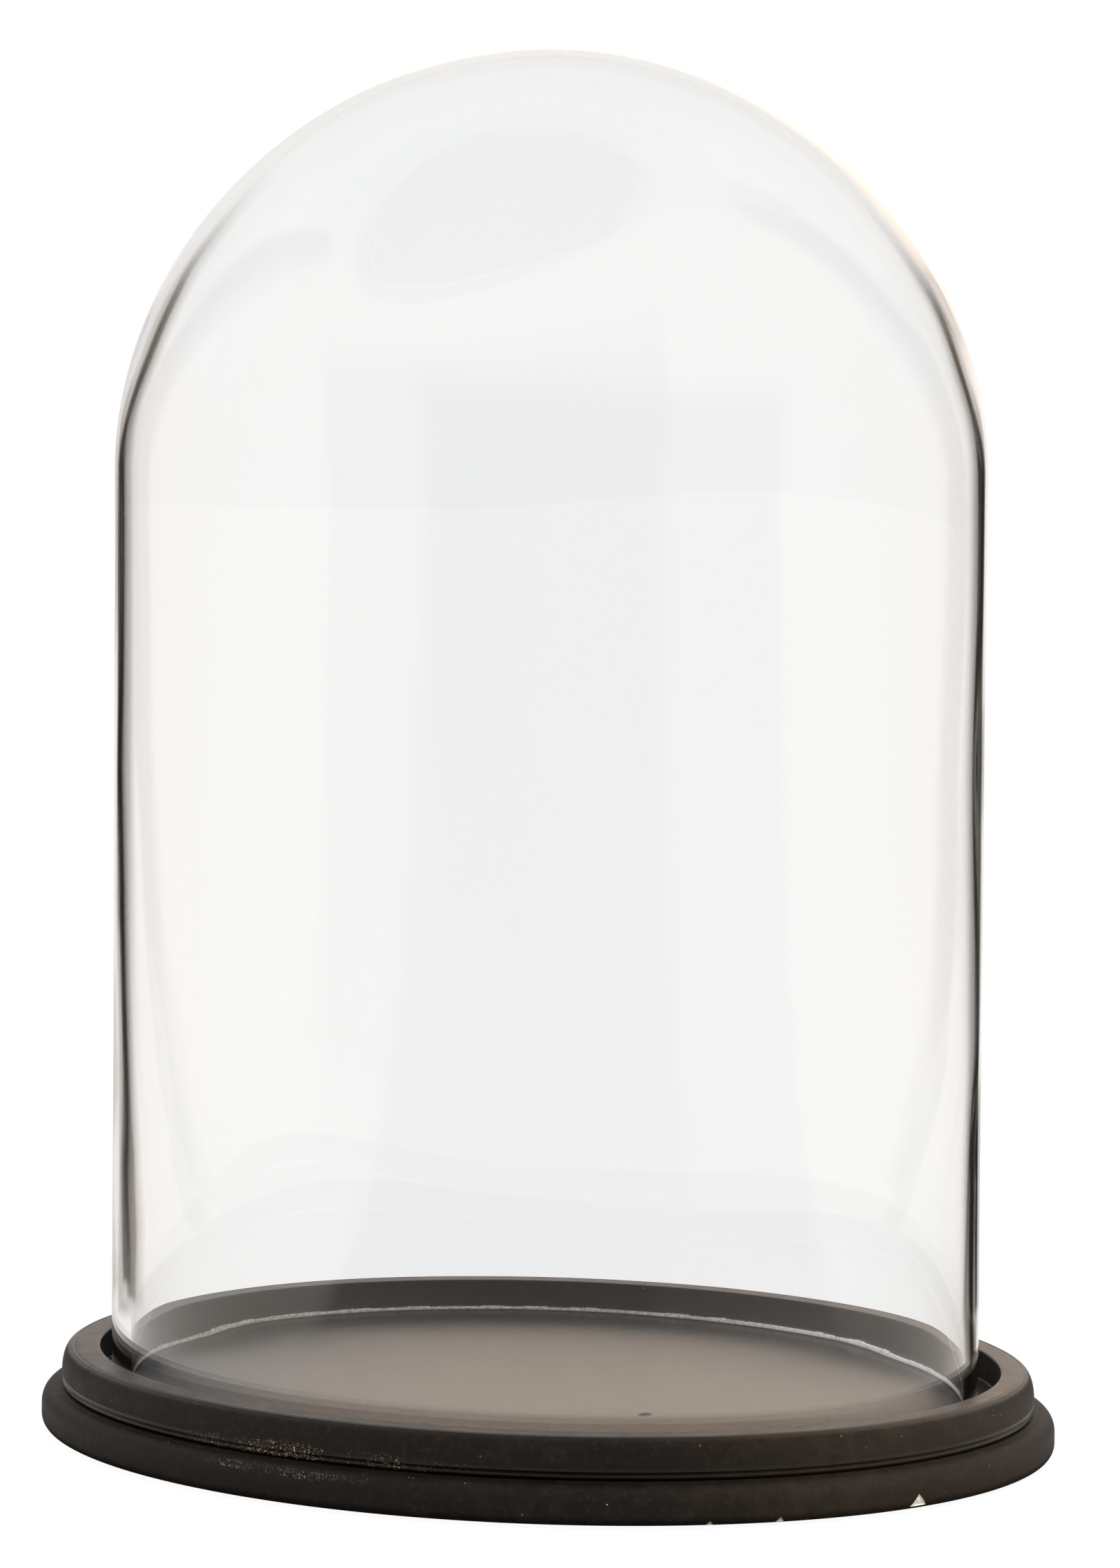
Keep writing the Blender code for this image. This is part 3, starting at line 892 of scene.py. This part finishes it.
def pad_felt():
    """Dense black felt with a fibrous nap."""
    make = Nodes("black_pad_felt")
    shader = make.shader
    fibre = make.noise(make.position((1.0, 1.0, 3.0)), 1400.0, detail=6.0, distortion=2.5)
    colour = make.ramp(fibre, [(0.35, (0.010, 0.010, 0.011)), (0.70, (0.055, 0.054, 0.055))])
    make.link(colour, shader.inputs["Base Color"])
    shader.inputs["Roughness"].default_value = 0.95
    shader.inputs["Sheen Weight"].default_value = 0.4
    shader.inputs["Sheen Roughness"].default_value = 0.5
    make.link(make.bump(fibre, 0.3 * MM), shader.inputs["Normal"])
    return make.material


# ---- felt pads ---------------------------------------------------------------------------------

PAD_POINTS = 96
PAD_RAGGED = 0.010  # share of the radius by which the cut edge wanders
PAD_CREASE = math.radians(50)
# Size as a share of the radius, and height as a share of the thickness.
PAD_PROFILE = ((0.80, 1.0), (0.97, 0.99), (1.0, 0.85), (1.0, 0.25), (0.985, 0.06), (0.95, 0.0), (0.80, 0.0))


def felt_pad(number, material):
    """A felt disc cut by hand: a slightly uneven edge, pressed round at the rim."""
    low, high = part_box(f"felt_pad_{number}")
    middle = (low + high) / 2
    radius = (high.x - low.x) / 2
    thick = high.z - low.z
    angle = np.linspace(0, 2 * math.pi, PAD_POINTS, endpoint=False)
    edge = radius * (1 - PAD_RAGGED * (1 + waves(angle, 60 + number, count=14, lowest=3)) / 2)
    rings = []
    for size, share in PAD_PROFILE:
        x = middle.x + edge * size * np.cos(angle)
        y = middle.y + edge * size * np.sin(angle)
        rings.append(np.column_stack([x, y, np.full(PAD_POINTS, low.z + thick * share)]))
    faces = capped(grid_faces(len(rings), PAD_POINTS, flip=True), len(rings), PAD_POINTS, flip=True)
    name = f"felt_pad_{number}_nap"
    mesh = solid_mesh(name, np.concatenate(rings), faces)
    mesh.materials.append(material)
    mesh.set_sharp_from_angle(angle=PAD_CREASE)
    return new_object(name, mesh)


# ---- build the pieces --------------------------------------------------------------------------

dome = glass_dome()
dome.data.materials.append(clear_glass("clear_glass_outer", with_painted_edge=True))
dome.data.materials.append(clear_glass("clear_glass_inner", with_painted_edge=False))
dome.data.materials.append(ground_glass())
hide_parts("glass_dome")
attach(dome, "dome")

tray = tray_board()
cut_bores(tray)
tray.data.materials.clear()
tray.data.materials.append(stained_wood("tray_black_stain", 0.0, (BEAD_RUB_AND_HIGHLIGHT,), POCKET_FLOOR))
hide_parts("tray_board")
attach(tray, "base")

plinth = plinth_board()
cut_bores(plinth)
plinth.data.materials.clear()
plinth.data.materials.append(stained_wood("plinth_black_stain", 1.3, (SHOULDER_RUB_AND_HIGHLIGHT,)))
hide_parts("plinth_board")
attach(plinth, "base")

steel = screw_steel()
for number in range(1, SCREW_COUNT + 1):
    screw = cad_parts[f"screw_{number}"]
    screw.data.materials.clear()
    screw.data.materials.append(steel)

felt = pad_felt()
for number in range(1, PAD_COUNT + 1):
    pad = felt_pad(number, felt)
    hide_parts(f"felt_pad_{number}")
    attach(pad, "base")


# ---- floor, light and camera -------------------------------------------------------------------

# The camera sees white all round, also through glass. Every bounced ray sees the studio: a backdrop
# behind the object, dark flags beside it, and softer light from the flanks, the front and above.
# An edge is the pair of values over which something starts or ends. Directions are given as sines.
FLOOR_HALF = 30.0
FLOOR_WHITE = 1.06
FLOOR_GLOW_SHARE = 0.90
FLOOR_PAINT = (0.80, 0.80, 0.80)
DIM_TABLE = (1.00, 1.12)  # sizes are in times the base: the dim strip beside it
DIM_TABLE_LIGHT = (0.04, 0.030, 0.022)
LIT_TABLE = (3.2, 1.9)  # where the table in front turns bright towards the base
TABLE_LIGHT = 1.8
BRIGHT_TABLE = (1.72, 1.55)  # the table behind is bright this near the base
BRIGHT_LEAN = 1.05  # and nearer on the right, by this share of the distance across
BACKDROP_EDGE = (0.30, 0.39)  # how far to each side the backdrop reaches
BACKDROP_RISE = (0.20, 0.34)  # heights over which the backdrop widens to the full width
BACKDROP_FRONT = (0.0, 0.2)
BACKDROP_WIDER = 0.14  # how much wider it is a little above the horizon
WIDER_HEIGHT = (0.02, 0.14)
WIDER_MOST = 0.75  # on the table, how much of that applies,
WIDER_TABLE = (13.0, 5.0)  # how near the base,
WIDER_MIDDLE, WIDER_LEAN = 0.5, -2.4  # and how it shares out from left to right
BACKDROP_STOPS = (  # colour by height
    (0.05, (0.94, 0.91, 0.87)),
    (0.20, (0.91, 0.90, 0.89)),
)
GLOW = (0.82, 0.48, 0.23)  # a warmer patch in the middle of the backdrop
GLOW_ASIDE = 0.08  # from straight behind to the middle of the patch
GLOW_EDGE = (0.25, 0.12)
GLOW_FOOT = (0.05, 0.10)
GLOW_TOP = (0.42, 0.24)
FLAG = 0.045  # the little light that the dark flags give
FLANK, FLANK_EDGE = 0.90, (0.58, 0.72)
FRONT, FRONT_EDGE = 0.32, (0.1, -0.4)
OVERHEAD, OVERHEAD_EDGE = 1.0, (0.22, 0.55)
EVEN = (1.0, 0.91, 0.83)  # colour of all light but the backdrop's


def seen_plainly(make):
    """1 for rays that have only passed through glass since the camera, 0 after any bounce."""
    path = make.node("ShaderNodeLightPath")
    bounced = make.maths("ADD", path.outputs["Diffuse Depth"], path.outputs["Glossy Depth"])
    return make.maths("LESS_THAN", bounced, 0.5)


def studio_light(make, direction, on_table=None, close=None, wider=None):
    """Light that comes from a direction, or from a point of the table in that direction."""
    sideways = make.maths("ABSOLUTE", make.along(direction, SIDE))
    behind = make.along(direction, BACK)
    height = make.along(direction, (0.0, 0.0, 1.0))
    if on_table is None:
        wider = make.steps(height, *WIDER_HEIGHT)
    across = make.maths("MULTIPLY_ADD", wider, -BACKDROP_WIDER, sideways)
    window = make.maths("SUBTRACT", 1.0, make.steps(across, *BACKDROP_EDGE))
    if on_table is None:
        window = make.maths("MAXIMUM", window, make.steps(height, *BACKDROP_RISE))
    else:
        window = make.maths("MAXIMUM", window, close)
    backwards = make.steps(behind, *BACKDROP_FRONT)
    window = make.maths("MULTIPLY", window, backwards)
    flank = make.maths("MULTIPLY", make.steps(sideways, *FLANK_EDGE), FLANK)
    front = make.maths("MULTIPLY", make.steps(behind, *FRONT_EDGE), FRONT)
    if on_table is None:
        aside = make.maths("ABSOLUTE", make.maths("SUBTRACT", make.along(direction, SIDE), GLOW_ASIDE))
        warm = make.maths("MULTIPLY", make.steps(aside, *GLOW_EDGE), backwards)
        warm = make.maths("MULTIPLY", warm, make.steps(height, *GLOW_FOOT))
        warm = make.maths("MULTIPLY", warm, make.steps(height, *GLOW_TOP))
        glow = make.vectors("ADD", make.ramp(height, BACKDROP_STOPS), make.scaled(GLOW, warm))
        overhead = make.maths("MULTIPLY", make.steps(height, *OVERHEAD_EDGE), OVERHEAD)
        front = make.maths("MAXIMUM", front, overhead)
    else:
        glow = BACKDROP_STOPS[0][1]
        lit = make.maths("MULTIPLY_ADD", on_table, TABLE_LIGHT, 1.0)
        front = make.maths("MULTIPLY", front, lit)
    even = make.maths("ADD", make.maths("MAXIMUM", flank, front), FLAG)
    return make.mix(window, make.scaled(EVEN, even), glow)


def clamped(make, value, low, high):
    return make.maths("MINIMUM", make.maths("MAXIMUM", value, low), high)


def table_light(make):
    """What a point of the table gives: the studio's light from its direction, dim by the base."""
    place = make.node("ShaderNodeTexCoord").outputs["Object"]
    base = (RIM_LONG + PLINTH_REACH, RIM_SHORT + PLINTH_REACH, 1.0)
    distance = make.length(make.vectors("DIVIDE", place, base))
    sideways = make.along(place, SIDE)
    nearest = make.scaled(SIDE, clamped(make, sideways, -GLASS_HALF, GLASS_HALF))
    away = make.vectors("SUBTRACT", place, nearest)
    level = make.node("ShaderNodeVectorMath", operation="NORMALIZE")
    make.link(away, level.inputs[0])
    lit = make.steps(distance, *LIT_TABLE)
    close = make.steps(make.maths("MULTIPLY_ADD", sideways, BRIGHT_LEAN, distance), *BRIGHT_TABLE)
    wider = make.maths("MULTIPLY_ADD", sideways, WIDER_LEAN, WIDER_MIDDLE)
    wider = clamped(make, wider, 0.0, WIDER_MOST)
    wider = make.maths("MULTIPLY", wider, make.steps(distance, *WIDER_TABLE))
    far = make.steps(distance, *DIM_TABLE)
    light = studio_light(make, level.outputs["Vector"], lit, close, wider)
    return make.mix(far, DIM_TABLE_LIGHT, light)


def pale_floor():
    """A white table to the eye. Right beside the base it gives little light, so its sides stay dark."""
    corners = []
    for x, y in ((-1, -1), (1, -1), (1, 1), (-1, 1)):
        corners.append((x * FLOOR_HALF, y * FLOOR_HALF, 0.0))
    mesh = bpy.data.meshes.new("floor")
    mesh.from_pydata(corners, [], [(0, 1, 2, 3)])
    floor = new_object("floor", mesh)
    make = Nodes("pale_floor")
    make.tree.nodes.remove(make.shader)
    reflected = make.node("ShaderNodeEmission")
    make.link(table_light(make), reflected.inputs["Color"])
    paint = make.node("ShaderNodeBsdfDiffuse")
    paint.inputs["Color"].default_value = (*FLOOR_PAINT, 1.0)
    white = make.node("ShaderNodeEmission")
    white.inputs["Strength"].default_value = FLOOR_WHITE
    seen = make.node("ShaderNodeMixShader")
    seen.inputs["Fac"].default_value = FLOOR_GLOW_SHARE
    make.link(paint.outputs["BSDF"], seen.inputs[1])
    make.link(white.outputs["Emission"], seen.inputs[2])
    blend = make.node("ShaderNodeMixShader")
    make.link(seen_plainly(make), blend.inputs["Fac"])
    make.link(reflected.outputs["Emission"], blend.inputs[1])
    make.link(seen.outputs["Shader"], blend.inputs[2])
    make.link(blend.outputs["Shader"], make.output.inputs["Surface"])
    mesh.materials.append(make.material)


def studio_world():
    """White all round to the eye, the studio's lights to every surface."""
    world = bpy.data.worlds.new("studio")
    bpy.context.scene.world = world
    make = Nodes("studio", world)
    light = studio_light(make, make.node("ShaderNodeTexCoord").outputs["Generated"])
    colour = make.mix(seen_plainly(make), light, (1.0, 1.0, 1.0))
    make.link(colour, make.tree.nodes["Background"].inputs["Color"])


def soft_light(name, place, target, size, power, colour):
    data = bpy.data.lights.new(name, "AREA")
    data.shape = "DISK"
    data.size = size
    data.energy = power
    data.color = colour
    obj = new_object(name, data)
    obj.location = place
    obj.rotation_euler = (Vector(target) - Vector(place)).to_track_quat("-Z", "Y").to_euler()
    obj.visible_glossy = False
    obj.visible_transmission = False


# The camera, worked out from the photograph's outlines.
CAMERA_DISTANCE = 1.4511
CAMERA_ELEVATION, CAMERA_ASIDE = math.radians(11.47), math.radians(-0.2095)
CAMERA_PITCH, CAMERA_ROLL = math.radians(4.1328), math.radians(0.438)
CAMERA_SHIFT = (-0.00303, 0.00347)
SENSOR = 36.0
PHOTO_HEIGHT, PIXELS_TO_THE_MM = 2274, 5.0


def photo_camera():
    """The camera at the photograph's viewing angle, in front and a little above."""
    base = Vector((0.0, 0.0, BOARD_BOTTOM))
    flat = CAMERA_DISTANCE * math.cos(CAMERA_ELEVATION)
    rise = CAMERA_DISTANCE * math.sin(CAMERA_ELEVATION)
    place = Vector((-flat * math.sin(CAMERA_ASIDE), -flat * math.cos(CAMERA_ASIDE), rise))
    right = Vector((1.0, 0.0, 0.0))
    ahead = Vector((0.0, math.cos(CAMERA_PITCH), -math.sin(CAMERA_PITCH)))
    up = Vector((0.0, math.sin(CAMERA_PITCH), math.cos(CAMERA_PITCH)))
    tilted_right = right * math.cos(CAMERA_ROLL) + up * math.sin(CAMERA_ROLL)
    tilted_up = up * math.cos(CAMERA_ROLL) - right * math.sin(CAMERA_ROLL)
    turn = Matrix.Rotation(VIEW_TURN, 3, "Z")
    columns = [turn @ tilted_right, turn @ tilted_up, turn @ -ahead]
    matrix = Matrix(columns).transposed().to_4x4()
    matrix.translation = base + turn @ place
    data = bpy.data.cameras.new("camera")
    depth = CAMERA_DISTANCE * math.cos(CAMERA_ELEVATION - CAMERA_PITCH)
    data.sensor_width = SENSOR
    data.lens = PIXELS_TO_THE_MM * depth / MM * SENSOR / PHOTO_HEIGHT
    data.clip_start = 0.05
    data.clip_end = 100.0
    data.shift_x, data.shift_y = CAMERA_SHIFT
    camera = new_object("camera", data)
    camera.matrix_world = matrix
    bpy.context.scene.camera = camera


pale_floor()
studio_world()
soft_light("front_light", (0.9, -1.3, 1.3), target=(0.0, 0.0, 0.05), size=0.8, power=22.0,
           colour=(1.0, 0.95, 0.90))
photo_camera()

scene = bpy.context.scene
scene.view_settings.view_transform = "Standard"
